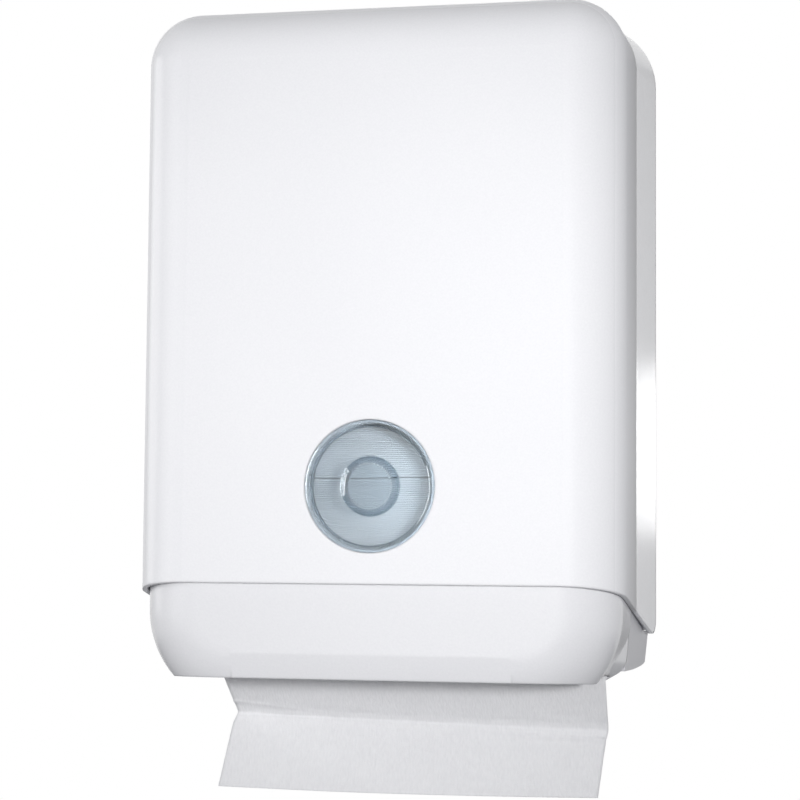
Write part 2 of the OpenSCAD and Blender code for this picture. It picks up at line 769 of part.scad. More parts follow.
module lock_barrel() color([0.78, 0.79, 0.81])
    translate([0, -lock_depth, 0]) difference() {
        union() {
            translate([0, 0, lock_seat_z]) cylinder(r1 = lock_seat_r - 2, r2 = lock_seat_r - 2.8,
                h = lock_flange_t);
            translate([0, 0, lock_seat_z - lock_len]) cylinder(r = lock_d / 2, h = lock_len + 0.5);
        }
        translate([0, 0, lock_seat_z - lock_len - 1]) cylinder(r = plug_d / 2 + fit, h = lock_len + 5);
    }

module lock_nut() color([0.72, 0.73, 0.75])
    translate([0, -lock_depth, nut_top - nut_t]) difference() {
        cylinder(r = lock_d / 2 + 5, h = nut_t, $fn = 6);
        translate([0, 0, -1]) cylinder(r = lock_d / 2 + fit, h = nut_t + 2);
    }

// The turning core: a key slot above and a square end that drives the tongue
module lock_plug() color([0.8, 0.81, 0.83])
    translate([0, -lock_depth, 0]) difference() {
        union() {
            translate([0, 0, cam_top + seat_gap])
                cylinder(r = plug_d / 2, h = lock_seat_z + lock_flange_t - cam_top - seat_gap);
            translate([-plug_d * 0.33, -plug_d * 0.33, cam_bottom])
                cube([plug_d * 0.66, plug_d * 0.66, cam_t + 1]);
        }
        translate([-key_w / 2, -key_l / 2, lock_seat_z + lock_flange_t - 9])
            cube([key_w, key_l, 10]);
        translate([0, 0, cam_bottom - 1]) cylinder(r = 1.5, h = 7);
    }

// The tongue points to the wall when it is open
module lock_cam() color([0.7, 0.71, 0.73])
    translate([0, -lock_depth, cam_bottom]) difference() {
        linear_extrude(cam_t) {
            circle(cam_w / 2 + 0.5);
            translate([-cam_w / 2, 0]) square([cam_w, cam_len - 4]);
            intersection() {
                translate([0, cam_len - cam_w]) circle(cam_w);
                translate([-cam_w / 2, cam_len - 6]) square([cam_w, 6]);
            }
        }
        translate([-plug_d * 0.33 - fit, -plug_d * 0.33 - fit, -1])
            cube([plug_d * 0.66 + 2 * fit, plug_d * 0.66 + 2 * fit, cam_t + 2]);
    }

module cam_screw() color([0.75, 0.76, 0.78])
    translate([0, -lock_depth, cam_bottom]) {
        translate([0, 0, -2]) cylinder(r1 = 4.4, r2 = 5, h = 2);
        cylinder(r = 1.5 - fit, h = 5);
    }

// Folded towels, with softly rounded front and rear folds
module towel_stack() color([0.93, 0.93, 0.92])
    translate([towel_shift, 0, 0]) along_x(-towel_w / 2, towel_w / 2)
        translate([-stack_rear - towel_fold, stack_low]) {
            translate([4, 0]) square([towel_fold - 8, stack_h]);
            translate([0, 4]) square([towel_fold, stack_h - 8]);
            for (y = [4, towel_fold - 4], z = [4, stack_h - 4]) translate([y, z]) circle(4);
        }

// The hanging towel runs down through the outlet, back to its crease and forward again.
// The crease drops a little towards the right.
module hanging_towel() color([0.93, 0.93, 0.92]) {
    left = towel_shift - towel_w / 2;
    right = towel_shift + towel_w / 2;
    slot_d = outlet_depth + 1.9;
    rows = [
        [[left, slot_d + 3, stack_low - 0.8], [right, slot_d + 3, stack_low - 0.8]],
        [[left, slot_d, -chin_drop + 3], [right, slot_d, -chin_drop + 3]],
        [[left + 1, 41, -221.5], [right, 44, -228]],
        [[left - 3, 61, -264.9], [right - 5, 56, -264.6]]];
    for (i = [0 : len(rows) - 2]) hull()
        for (p = concat(rows[i], rows[i + 1]))
            translate([p[0], -p[1], p[2]]) sphere(d = sheet_t, $fn = 12);
}

back_plate();
chin_panel();
throat_plate();
throat_screws();
towel_guide_left();
towel_guide_right();
guide_screws();
hinge_bush_left();
hinge_bush_right();
cover_buffers();
lock_keeper();
keeper_screws();
towel_stack();
hanging_towel();
front_cover();
window_lens();
lens_retainer();
hinge_pin_left();
hinge_pin_right();
lock_barrel();
lock_nut();
lock_plug();
lock_cam();
cam_screw();
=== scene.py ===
# %% [markdown]
# # A wall dispenser for folded paper towels, finished for its picture
# The solids come from a CAD model and stay as they are. This lesson gives them their
# finishes and makes what CAD can't: the pile of towels behind the window and the sheet
# that hangs out below. Lengths are in metres. The wall is the plane y = 0, the front
# faces -y and z is up.

# %% Load the model
import bpy
import math
from mathutils import Matrix, Vector, noise


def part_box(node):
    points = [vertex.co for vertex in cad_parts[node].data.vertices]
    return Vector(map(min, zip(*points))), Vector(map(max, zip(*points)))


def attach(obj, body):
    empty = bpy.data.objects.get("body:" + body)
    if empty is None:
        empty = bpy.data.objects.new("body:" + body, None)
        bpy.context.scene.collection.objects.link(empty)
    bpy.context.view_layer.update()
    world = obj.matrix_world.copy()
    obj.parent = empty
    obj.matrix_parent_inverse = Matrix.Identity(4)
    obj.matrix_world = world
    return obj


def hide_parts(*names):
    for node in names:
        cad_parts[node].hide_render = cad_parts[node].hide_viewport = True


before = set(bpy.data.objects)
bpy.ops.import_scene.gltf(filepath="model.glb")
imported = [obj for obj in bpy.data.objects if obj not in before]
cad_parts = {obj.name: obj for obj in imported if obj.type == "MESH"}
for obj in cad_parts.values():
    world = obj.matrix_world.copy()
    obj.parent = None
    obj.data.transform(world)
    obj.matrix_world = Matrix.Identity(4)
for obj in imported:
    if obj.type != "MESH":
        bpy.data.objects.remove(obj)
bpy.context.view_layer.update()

# %% [markdown]
# ## The camera
# The picture was taken from the right and a little below the middle, looking up. The place
# and the focal length come from fitting the known corners, edges and the window to the
# picture. A camera could be aimed at a target object, but three angles say exactly what the
# fit found, the slight roll too. It goes first, so that everything made later can be judged
# through it.

# %% Camera
def look(place, yaw, pitch, roll):
    """Where a camera stands and points: yaw to the left, pitch up, roll clockwise, in degrees."""
    yaw, pitch, roll = (math.radians(a) for a in (yaw, pitch, roll))
    ahead = Vector((-math.sin(yaw) * math.cos(pitch), math.cos(yaw) * math.cos(pitch),
        math.sin(pitch)))
    right = Vector((math.cos(yaw), math.sin(yaw), 0))
    up = right.cross(ahead)
    side = right * math.cos(roll) + up * math.sin(roll)
    top = up * math.cos(roll) - right * math.sin(roll)
    turn = Matrix((side, top, -ahead)).transposed().to_4x4()
    return Matrix.Translation(place) @ turn

lens = bpy.data.cameras.new("camera")
lens.sensor_width = 36
lens.lens = 95.17
camera = bpy.data.objects.new("camera", lens)
camera.matrix_world = look(Vector((0.25595, -1.29186, -0.12286)), yaw=11.59, pitch=4.11,
    roll=0.47)
bpy.context.scene.collection.objects.link(camera)
bpy.context.scene.camera = camera
print("camera at", [round(v, 3) for v in camera.location])

# %% [markdown]
# ## Maths on sockets
# A finish is a small net of shader nodes. Written link by link it's hard to read. So a class
# wraps an output socket and overloads the operators: a plain expression such as
# `0.2 + 0.1 * grain` then adds its Math nodes. The reflected forms, such as `__rsub__`, let a
# number stand first, as in `1 - mask`.

# %% Sockets that can be reckoned with
class Wire:
    """The output of a shader node, which arithmetic can be done with."""
    def __init__(self, finish, socket):
        self.finish, self.socket = finish, socket

    def maths(self, operation, first, second):
        """Adds a Math node for two sockets or numbers."""
        return self.finish.node("ShaderNodeMath", {"operation": operation}, _0=first, _1=second)

    def vector(self, operation, out="Vector", **inputs):
        """Maths on the three numbers of a place or a direction."""
        return self.finish.node("ShaderNodeVectorMath", {"operation": operation}, out,
            _0=self, **inputs)

    def __add__(self, other):
        return self.maths("ADD", self, other)

    def __radd__(self, other):
        return self.maths("ADD", other, self)

    def __sub__(self, other):
        return self.maths("SUBTRACT", self, other)

    def __rsub__(self, other):
        return self.maths("SUBTRACT", other, self)

    def __mul__(self, other):
        return self.maths("MULTIPLY", self, other)

    def __rmul__(self, other):
        return self.maths("MULTIPLY", other, self)

    def __pow__(self, other):
        return self.maths("POWER", self, other)

    def clamped(self):
        """Held between 0 and 1."""
        return self.maths("MINIMUM", self.maths("MAXIMUM", self, 0), 1)

print("a socket can do:", [name for name in vars(Wire) if not name.startswith("__")])

# %% [markdown]
# ## One material at a time
# A second class holds the net that is being put together. Its method `node` adds any node: it
# takes the type, then the settings, because they decide which sockets there are, and then the
# sockets, each with a value or a link. A socket is named, or counted where several share a
# name.

# %% Building a finish
def settle(made, settings):
    """Sets a node up. Stops are the places and colours of a ramp."""
    for key, value in settings.items():
        if key == "stops":
            marks = made.color_ramp.elements
            while len(marks) < len(value):
                marks.new(0.5)
            for mark, (place, colour) in zip(marks, value):
                mark.position, mark.color = place, (*colour, 1)
        else:
            setattr(made, key, value)

class Finish:
    """The shader net of a material or of the world."""
    def __init__(self, name, owner=None):
        self.owner = owner or bpy.data.materials.new(name)
        self.owner.use_nodes = True
        self.tree = self.owner.node_tree
        self.tree.nodes.clear()

    def feed(self, slot, value):
        """Links a socket or gives it a value; a colour's alpha is 1."""
        if isinstance(value, Wire):
            self.tree.links.new(value.socket, slot)
        elif isinstance(value, (tuple, list)) and slot.type == "RGBA":
            slot.default_value = (*value, 1)[:4]
        else:
            slot.default_value = value

    def node(self, kind, settings=None, out=0, **sockets):
        """Adds a node. A socket's name has _ for a space, or it's _ and the socket's number."""
        made = self.tree.nodes.new(kind)
        settle(made, settings or {})
        for key, value in sockets.items():
            if key[0] == "_":
                slot = made.inputs[int(key[1:])]
            else:
                name = key.replace("_", " ")
                slot = next(s for s in made.inputs if s.name == name and s.enabled)
            self.feed(slot, value)
        found = [s for s in made.outputs if s.enabled]
        if found:
            return Wire(self, found[out] if isinstance(out, int) else made.outputs[out])

    def skin(self, **sockets):
        """The Principled shader, with its sockets."""
        return self.node("ShaderNodeBsdfPrincipled", **sockets)

    def done(self, shader, end="ShaderNodeOutputMaterial"):
        """Ends the net in its output and gives back what it belongs to."""
        self.node(end, Surface=shader)
        return self.owner

print("a finish can do:", [name for name in vars(Finish) if not name.startswith("__")])

# %% [markdown]
# ## Patterns
# Every finish here is built from a few patterns. Noise in object space stays on its piece when
# the piece moves, and needs no unwrapping. A stretch makes its patches long along one axis,
# which gives brushed or creped surfaces. Colours are mixed with a Mix node, since a Math node
# would turn them grey.

# %% Patterns
def spot(paint, stretch=(1, 1, 1)):
    """Where on the object a point is, stretched along each axis."""
    return paint.node("ShaderNodeTexCoord", out="Object").vector("MULTIPLY", _1=stretch)

def grain(paint, size, detail=2, stretch=(1, 1, 1)):
    """Soft noise from 0 to 1 whose patches are about size metres across."""
    return paint.node("ShaderNodeTexNoise", out="Fac", Vector=spot(paint, stretch),
        Scale=1 / size, Detail=detail, Roughness=0.55)

def rise(value, start, end):
    """0 below start, 1 above end and a straight line between them."""
    return ((value - start) * (1 / (end - start))).clamped()

def mix(share, low, high):
    """A colour between low and high."""
    return share.finish.node("ShaderNodeMix", {"data_type": "RGBA"}, Factor=share, A=low, B=high)

def blend(share, first, second):
    """One shader turning into another."""
    return share.finish.node("ShaderNodeMixShader", _0=share, _1=first, _2=second)

def bump(height, depth, soften=0):
    """A surface that rises and falls by depth metres, its edges softened by that radius."""
    facing = {}
    if soften:
        facing["Normal"] = height.finish.node("ShaderNodeBevel", {"samples": 8}, Radius=soften)
    return height.finish.node("ShaderNodeBump", Height=height, Distance=depth, **facing)

print("patterns:", [f.__name__ for f in (spot, grain, rise, mix, blend, bump)])

# %% [markdown]
# ## Moulded plastic
# The cover and the chin are glossy white plastic. A plain white would look like card, so the
# tone drifts a little over the whole face, the mould leaves a fine grain, and a slight ripple
# shows in the edges of the reflections. A Bevel node feeds the bump's Normal: it rounds the
# look of the moulded edges without a change to the CAD mesh.
#
# In front of the crease the side of the cover is duller, and its colour darkens towards the
# crease as painted shade, while the skirt behind it stays polished, and a clean line lies between
# them. The mask for that is made from y alone.
# The roughness of the glossy pieces is kept on one side of 0.27, because the denoiser treats
# rougher spots as matt, and the change would show as islands.

# %% A moulded finish
# Sizes of the patterns in metres
slow_drift, wiped, ripple, mould_grain, fine_grain = 0.11, 0.025, 0.012, 0.0016, 0.0011
# The painted shade's colour, how far ahead of the crease it reaches, where the side starts to
# dull, how much
crease_shade_and_dull = {"tone": (0.58, 0.58, 0.59), "reach": 0.046, "start": 0.06, "rough": 0.35}
crease_line = 0.0005
skirt_polish = 0.05

def moulded(name, tone, shade, polish, grit, soften=0.0004, crease=None):
    """Moulded plastic: tone is its colour, shade the slightly darker drift, polish its
    roughness and grit the height of its grain in metres. Soften rounds the look of its edges.
    In front of a crease, given by its y, the side is duller, and darker towards the crease:
    painted shade."""
    paint = Finish(name)
    drift = grain(paint, slow_drift, detail=1)
    speck = grain(paint, fine_grain, detail=2)
    smear = grain(paint, wiped, detail=3)
    # The last number brings the sum of the two patterns back to about 0 to 1
    colour = mix((0.5 * drift + 1.1 * speck - 0.3).clamped(), shade, tone)
    rough = polish * (1 + 0.17 * smear)
    if crease:
        y = paint.node("ShaderNodeSeparateXYZ", out="Y", Vector=spot(paint))
        ahead = 1 - rise(y, crease - crease_line, crease)
        # Painted shade: the side's colour darkens towards the crease, where the shade falls.
        colour = mix(ahead * rise(y, crease - crease_shade_and_dull["reach"], crease), colour, crease_shade_and_dull["tone"])
        dull = ahead * rise(y, crease - crease_shade_and_dull["start"], crease - crease_shade_and_dull["reach"])
        rough = rough + crease_shade_and_dull["rough"] * dull - skirt_polish * (1 - ahead)
    relief = bump(grain(paint, mould_grain, detail=3) + 0.6 * grain(paint, ripple), grit, soften)
    return paint.done(paint.skin(Base_Color=colour, Roughness=rough, IOR=1.5, Normal=relief))

print("dust ahead of the crease over", crease_shade_and_dull["reach"], "m")

# %% [markdown]
# ## Which plastic goes where
# The cover and the chin come from two moulds and differ a little in tone. The rear body has less
# polish, and its tone is set darker as painted shade. The pieces inside come from an off-white
# with none, and the hinge bushes are a cream that needs no grease. Each gets its own material, so
# that they part where they meet.

# %% White plastics
def wear(node, material):
    """Gives a CAD piece its finish."""
    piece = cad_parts[node]
    piece.data.materials.clear()
    piece.data.materials.append(material)
    return piece

cover_white = moulded("white_abs_cover", (0.85, 0.85, 0.87), (0.79, 0.79, 0.815), 0.225,
    0.00005, soften=0.002, crease=-0.054)
chin_white = moulded("white_abs_chin", (0.79, 0.79, 0.81), (0.735, 0.735, 0.76), 0.23,
    0.00005, soften=0.0022)
# The rear body's tone is darker than the cover's: painted shade, for its side that lies under the
# skirt.
satin_white_painted_shade = moulded("white_abs_satin", (0.62, 0.62, 0.64), (0.57, 0.57, 0.6), 0.35, 0.00006)
inner_white = moulded("inner_plastic", (0.7, 0.7, 0.71), (0.64, 0.64, 0.655), 0.38, 0.00008)
bush_cream = moulded("bush_plastic", (0.62, 0.59, 0.49), (0.55, 0.52, 0.43), 0.4, 0.00006)

wear("front_cover", cover_white)
wear("chin_panel", chin_white)
wear("back_plate", satin_white_painted_shade)
for node in ("throat_plate", "lens_retainer", "towel_guide_left", "towel_guide_right"):
    wear(node, inner_white)
for node in ("hinge_bush_left", "hinge_bush_right"):
    wear(node, bush_cream)
print("plastics:", [m.name for m in (cover_white, chin_white, satin_white_painted_shade, inner_white,
    bush_cream)])

# %% [markdown]
# ## Metal
# Screws, pins and the catch are zinc plated: a cool metal whose plating clouds in patches.
# The lock is nickel, a little warmer and better polished, with fine turning marks. Both are
# one recipe: noise clouds the colour and the roughness, and finer noise, drawn out along the
# way that the tool turned, gives the marks.

# %% Metals
def plated(name, tone, cloudy, polish, lines):
    """Plated metal: cloudy is its colour in the clouds, lines how the marks are stretched."""
    paint = Finish(name)
    cloud = grain(paint, 0.004, detail=3)
    marks = grain(paint, 0.0008, detail=1, stretch=lines)
    return paint.done(paint.skin(Base_Color=mix(cloud, cloudy, tone), Metallic=1.0,
        Roughness=polish + 0.16 * cloud + 0.06 * marks, Normal=bump(marks, 0.00002)))

zinc = plated("plated_steel", (0.74, 0.76, 0.79), (0.58, 0.61, 0.66), 0.26, (1, 1, 1))
nickel = plated("lock_metal", (0.8, 0.79, 0.76), (0.7, 0.69, 0.66), 0.18, (0.1, 0.1, 6))
for node in ("throat_screws", "guide_screws", "keeper_screws", "cam_screw", "lock_keeper",
        "hinge_pin_left", "hinge_pin_right"):
    wear(node, zinc)
for node in ("lock_barrel", "lock_nut", "lock_plug", "lock_cam"):
    wear(node, nickel)
print("metals:", zinc.name, nickel.name)

# %% [markdown]
# ## Rubber
# The two buffers that the closed cover rests against are dull dark rubber. Old rubber isn't
# black: a pale bloom comes to its surface in patches, which also makes it rougher there.

# %% Rubber
def rubbery(name, tone, bloomed):
    """Dull rubber: bloomed is its colour where the bloom is thickest."""
    paint = Finish(name)
    bloom = grain(paint, 0.003, detail=4)
    return paint.done(paint.skin(Base_Color=mix(bloom, tone, bloomed),
        Roughness=0.65 + 0.2 * bloom, Normal=bump(grain(paint, 0.0005), 0.00005)))

buffers = wear("cover_buffers", rubbery("rubber", (0.02, 0.02, 0.022), (0.055, 0.055, 0.06)))
print("rubber on", buffers.name, "with", len(buffers.data.polygons), "faces")

# %% [markdown]
# ## Rings in the window
# The window is one clear moulding, and its rim and the raised disc in its middle show as rings: a
# ring is darker where one looks through more plastic. True refraction in a solid this thin hides
# the rings, because the paper behind is plain. So a ramp over the radius says how thick the
# plastic looks there: each stop is the tint to the power of that thickness. One thin stop at the
# top edge of the disc is a painted highlight. The middle and the radius come from the solid's own
# box.

# %% Window rings
# Radius in mm, and how thick the plastic looks there: the flat floor of the dish is 1
# The thin value at 12.8 mm gives a light line: a painted highlight on the top edge of the raised
# disc.
thickness_and_highlight = [(0, 1.65), (12.4, 1.6), (12.8, 1.1), (13.3, 1.75), (15.9, 1.9), (16.4, 3),
    (16.9, 1), (33.1, 1), (33.7, 2.6), (34.3, 1.3), (37.5, 0.9)]
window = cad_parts["window_lens"]
window_low, window_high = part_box("window_lens")
window_middle = window.matrix_world.inverted() @ ((window_low + window_high) / 2)
window_radius = (window_high.x - window_low.x) / 2

def rings(paint, tint):
    """The window's tint, deeper where the plastic looks thicker, with a painted highlight at the
    top edge of the disc.
    """
    radius = spot(paint).vector("SUBTRACT", _1=tuple(window_middle)).vector("MULTIPLY",
        _1=(1, 0, 1)).vector("LENGTH", out="Value")
    stops = [(r / 1000 / window_radius, tuple(c ** thick for c in tint))
        for r, thick in thickness_and_highlight]
    return paint.node("ShaderNodeValToRGB", {"stops": stops}, out="Color",
        Fac=radius * (1 / window_radius))

print("window middle:", [round(v, 4) for v in window_middle], "radius:", round(window_radius, 4))

# %% [markdown]
# ## The smoky window
# The plastic bends light only a little here, since the rings already show its form, and a clear
# coat with the real index of plastic gives the gloss on top.
#
# A lamp's light can't be followed through bent glass, and the towels would turn black. So rays
# that look for a lamp meet another shader: a Transparent one, and a darker one where they
# strike at a slant. That lights the towels and leaves the soft shadow of the disc's side on
# them.

# %% Window
def smoky(name, tint, deep, lit, shaded):
    """Clear tinted plastic: tint straight through it and deep where it's seen at a slant.
    Lit and shaded are what lamp light keeps of its colour in the same two cases."""
    paint = Finish(name)
    scuffs = grain(paint, 0.0012, detail=3)
    slant = paint.node("ShaderNodeLayerWeight", out="Facing", Blend=0.5)
    through = mix((1.2 * slant ** 3).clamped(), rings(paint, tint), deep)
    clear = paint.skin(Base_Color=through, Roughness=0.01 + 0.03 * scuffs, IOR=1.12,
        Transmission_Weight=1.0, Coat_Weight=1.0, Coat_Roughness=0.08, Coat_IOR=1.5,
        Normal=bump(grain(paint, 0.006), 0.00001))
    shadow = blend((1.6 * slant ** 2).clamped(),
        paint.node("ShaderNodeBsdfTransparent", Color=lit),
        paint.node("ShaderNodeBsdfTransparent", Color=shaded))
    to_lamp = paint.node("ShaderNodeLightPath", out="Is Shadow Ray")
    return paint.done(blend(to_lamp, clear, shadow))

smoke = smoky("smoked_clear", (0.6, 0.655, 0.69), (0.15, 0.2, 0.25), (0.68, 0.7, 0.72),
    (0.1, 0.14, 0.18))
wear("window_lens", smoke)
print("window nodes:", len(smoke.node_tree.nodes))

# %% [markdown]
# ## Paper
# Hand towels are creped: the web is scraped off a hot drum, which leaves fine ridges and loose
# fibres. On the hanging towel the ridges run down the sheet, on the folds of the pile along
# them. They are noise stretched along one axis, the fibres a finer noise in all directions, and
# both go into the colour a little as well as into the bump.

# %% Paper finish
def creped(name, tone, shade, ridge, depth):
    """Creped paper: ridge is how the crepe's noise is stretched, depth how high it stands."""
    paint = Finish(name)
    crepe = grain(paint, 0.0012, detail=2, stretch=ridge)
    fibre = grain(paint, 0.0006, detail=3)
    patch = grain(paint, 0.02, detail=2)
    colour = mix((1.1 * crepe + 0.5 * fibre + 0.3 * patch - 0.45).clamped(), shade, tone)
    return paint.done(paint.skin(Base_Color=colour, Roughness=0.85 + 0.1 * fibre, IOR=1.4,
        Normal=bump(crepe + 0.5 * fibre, depth)))

paper = creped("towel_paper", (0.84, 0.84, 0.855), (0.74, 0.74, 0.76), (1, 0.3, 0.3), 0.0003)
paper_edges = creped("towel_paper_folds", (0.9, 0.9, 0.915), (0.84, 0.85, 0.87),
    (0.05, 0.3, 1.6), 0.0001)
print("papers:", paper.name, paper_edges.name)

# %% [markdown]
# ## Meshes from rows of points
# Both paper pieces are surfaces drawn through rows of points. That could be done with curves
# and a loft, but a plain grid of points shows exactly where each row lies, and the same three
# helpers serve both: fixed noise for what is never quite even, the mesh itself, and the quads
# between the rows.

# %% Mesh helpers
def wobble(a, b=0.0, c=0.0):
    """Fixed smooth noise from -1 to 1, the same in each run."""
    return noise.noise(Vector((a, b, c)))

def mesh_piece(name, points, faces, material):
    """Makes an object from points in metres and its faces."""
    shape = bpy.data.meshes.new(name)
    shape.from_pydata([tuple(p) for p in points], [], faces)
    shape.update()
    for face in shape.polygons:
        face.use_smooth = True
    shape.materials.append(material)
    piece = bpy.data.objects.new(name, shape)
    bpy.context.scene.collection.objects.link(piece)
    return piece

def grid_faces(start, rows, columns, closed):
    """Quads between rows of points; closed joins each row's last column to its first."""
    last = columns if closed else columns - 1
    return [(start + r * columns + c, start + r * columns + (c + 1) % columns,
        start + (r + 1) * columns + (c + 1) % columns, start + (r + 1) * columns + c)
        for r in range(rows - 1) for c in range(last)]

print("a grid of 3 by 4 points has", len(grid_faces(0, 3, 4, False)), "faces")

# %% [markdown]
# ## One folded towel
# Through the window the pile shows its front folds, fine as the pages of a book. Each towel is
# a flat loop with a round front fold. Its depth and lift vary by fractions of a millimetre, and
# a slow wave runs along each fold. The lift fades out near the top and the bottom of the pile,
# so that it stays inside the block that it replaces.

# %% The outline of a folded towel
low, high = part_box("towel_stack")
pitch = 0.0012
count = int((high.z - low.z) / pitch)
fold_points = 9
# How far the fold stands back, and how much fold, wave and lift vary, in metres
setback, fold_play, wave_play, lift_play = 0.0009, 0.0003, 0.0004, 0.0011
back_gap, back_play = 0.0004, 0.0008
# How deep the round fold is for its height, and over how many towels the lift fades out
fold_depth, calm = 0.4, 20

def leaf_ring(x, leaf, z0, thick):
    """The outline of one folded towel at x: round at the front, flat at the back."""
    seed = leaf * 1.37
    front = low.y + setback + fold_play * wobble(seed, 4.1) \
        + wave_play * wobble(x * 14, seed * 0.2, 1.3)
    lift = lift_play * wobble(x * 11, 7.7, leaf * 0.04) \
        * min(1, leaf / calm, (count - leaf) / calm)
    back = high.y - back_gap - back_play * abs(wobble(seed, 9.2))
    half = thick / 2
    ring = []
    for k in range(fold_points):
        turn = math.radians(90 + 180 * k / (fold_points - 1))
        ring.append((x, front + half * fold_depth + half * fold_depth * math.cos(turn),
            z0 + half + lift + half * math.sin(turn)))
    ring += [(x, (front + back) / 2, z0 + lift), (x, back, z0 + lift),
        (x, back, z0 + thick + lift), (x, (front + back) / 2, z0 + thick + lift)]
    return ring

print("points in one outline:", len(leaf_ring(0, 0, low.z, pitch)))

# %% [markdown]
# ## The pile of towels
# The towels are laid one on another, each a row of outlines from its left to its right end with
# a cap at both. Where two packs meet, the photo shows a darker gap: there one towel is thinner.
# The whole pile is one mesh, because separate objects would only slow the scene down.

# %% Towel pile
stations = 15
# The height where two packs meet, and how far the first towel is above the block's foot
pack_gap, first_lift = -0.0821, 0.0004
# How thick a towel is for the pitch and how much that varies, and its share at the gap
fullness, fullness_play, gap_share = 0.95, 0.04, 0.55
# How far the ends of the towels stand inside the block, and how much that varies
side_inset, side_play = 0.0008, 0.0006

points, faces = [], []
for leaf in range(count):
    z0 = low.z + first_lift + leaf * pitch
    thick = pitch * (fullness + fullness_play * wobble(leaf * 2.3, 5.0))
    if abs(z0 - pack_gap) < pitch / 2:
        thick *= gap_share
    left = low.x + side_inset + side_play * wobble(leaf * 1.9, 2.2)
    right = high.x - side_inset + side_play * wobble(leaf * 1.7, 3.3)
    start = len(points)
    for s in range(stations):
        points += leaf_ring(left + (right - left) * s / (stations - 1), leaf, z0, thick)
    size = (len(points) - start) // stations
    faces += grid_faces(start, stations, size, True)
    faces.append(tuple(reversed(range(start, start + size))))
    faces.append(tuple(range(start + (stations - 1) * size, start + stations * size)))
pile = mesh_piece("towel_pile", points, faces, paper_edges)
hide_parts("towel_stack")
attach(pile, "base")
print("towels in the pile:", count)

# %% [markdown]
# ## The towel that hangs out
# One towel comes down through the outlet, swings back to its fold and forward again. It's
# paper, so it keeps the crease it was packed with: the sheet is drawn through rows of points
# that run down it, each given at its left and right end, and only the crease is rounded a
# little, by two rounds of smoothing down the sheet.

# %% Rows down the sheet
# Each row: its left and its right end, as x, depth off the wall and z in mm, and how many
# steps lead to the next row
sheet_rows = [
    ((-104.5, 65.6, -176.6), (126.0, 65.6, -176.6), 5),
    ((-104.3, 63.4, -186.0), (126.0, 63.4, -186.0), 10),
    ((-103.6, 60.6, -197.0), (126.3, 60.6, -197.0), 36),
    ((-99.3, 41.2, -220.7), (126.2, 44.0, -226.4), 10),
    ((-101.8, 43.6, -226.8), (124.9, 46.6, -232.6), 40),
    ((-105.6, 61.0, -263.3), (121.4, 56.0, -264.0), 0)]
crease_step = sum(row[2] for row in sheet_rows[:3])
mm = 0.001

def row_point(end_a, end_b, share):
    """A point between two row ends, as a place in metres."""
    x, depth, z = (a + (b - a) * share for a, b in zip(end_a, end_b))
    return Vector((x * mm, -depth * mm, z * mm))

def sheet_line(share):
    """The sheet's middle line at this share of its width, from top to bottom."""
    line = []
    for (la, ra, steps), (lb, rb, _) in zip(sheet_rows, sheet_rows[1:]):
        a, b = row_point(la, ra, share), row_point(lb, rb, share)
        line += [a.lerp(b, k / steps) for k in range(steps)]
    line.append(row_point(*sheet_rows[-1][:2], share))
    for _ in range(2):
        line = [line[0]] + [(line[i - 1] + 2 * line[i] + line[i + 1]) / 4
            for i in range(1, len(line) - 1)] + [line[-1]]
    return line

print("points down the sheet:", len(sheet_line(0)), "crease at", crease_step)

# %% [markdown]
# ## Waves and wrinkles
# The relief is worked out at each point from how far down and across it is. Waves fade out
# towards the outlet, which holds the sheet flat. Along the crease a hair-thin ridge and some
# crumples keep it from being a ruler's line, a slanted pleat runs into it at the left, and a
# wrinkle with a dent beside it lies under its right end. Cloth simulation isn't used: paper
# hardly sags, and the places of its creases are known.

# %% Relief of the sheet
def line_at(down, place, width):
    """1 on a line at place, fading to 0 within about two widths on both sides."""
    return math.exp(-((down - place) / width) ** 2)

def relief(across_share, down, crease):
    """How far the sheet stands forward of its plain line. All lengths are in metres, and
    across_share runs from 0 at the left end to 1 at the right."""
    free = min(1, max(0, (down - 0.022) / 0.03))
    wave = 0.0009 * wobble(across_share * 3.1, down * 18, 3.7)
    ripples = 0.00025 * wobble(across_share * 11, down * 60, 8.2)
    reach = max(0, across_share - 0.55) / 0.45
    wrinkle = 0.0009 * reach * line_at(down, crease + 0.0055, 0.0011)
    dent = -0.0006 * reach * line_at(down, crease + 0.0085, 0.0016)
    crumple = 0.0005 * line_at(down, crease - 0.004, 0.009) \
        * wobble(across_share * 16 + down * 70, down * 260, 5.5)
    fold_line = -0.0005 * line_at(down, crease - 0.004, 0.0022) \
        * (0.5 + 0.5 * wobble(across_share * 5, 1.1))
    ridge = 0.0003 * line_at(down, crease + 0.0012, 0.001)
    corner = max(0, 1 - across_share / 0.32)
    pleat = 0.00035 * min(1, 3 * corner) * line_at(down, crease - 0.0015 - 0.008 * corner, 0.0009)
    return free * (wave + ripples) + wrinkle + dent + crumple + fold_line + ridge + pleat

print("relief on the crease, mm:", [round(1000 * relief(s, 0.05, 0.05), 2) for s in (0, 0.5, 1)])

# %% [markdown]
# ## The sheet's two sides
# The sheet has a front and a back, 0.3 mm apart, because a real sheet has a thickness and a
# closed mesh has a clear inside. Each point of the middle line is moved out by the relief and
# by half the thickness. The cut edge sags a little between the ends.

# %% Points of the sheet
columns = 111
sheet_t = 0.0003
edge_sag = 0.0013

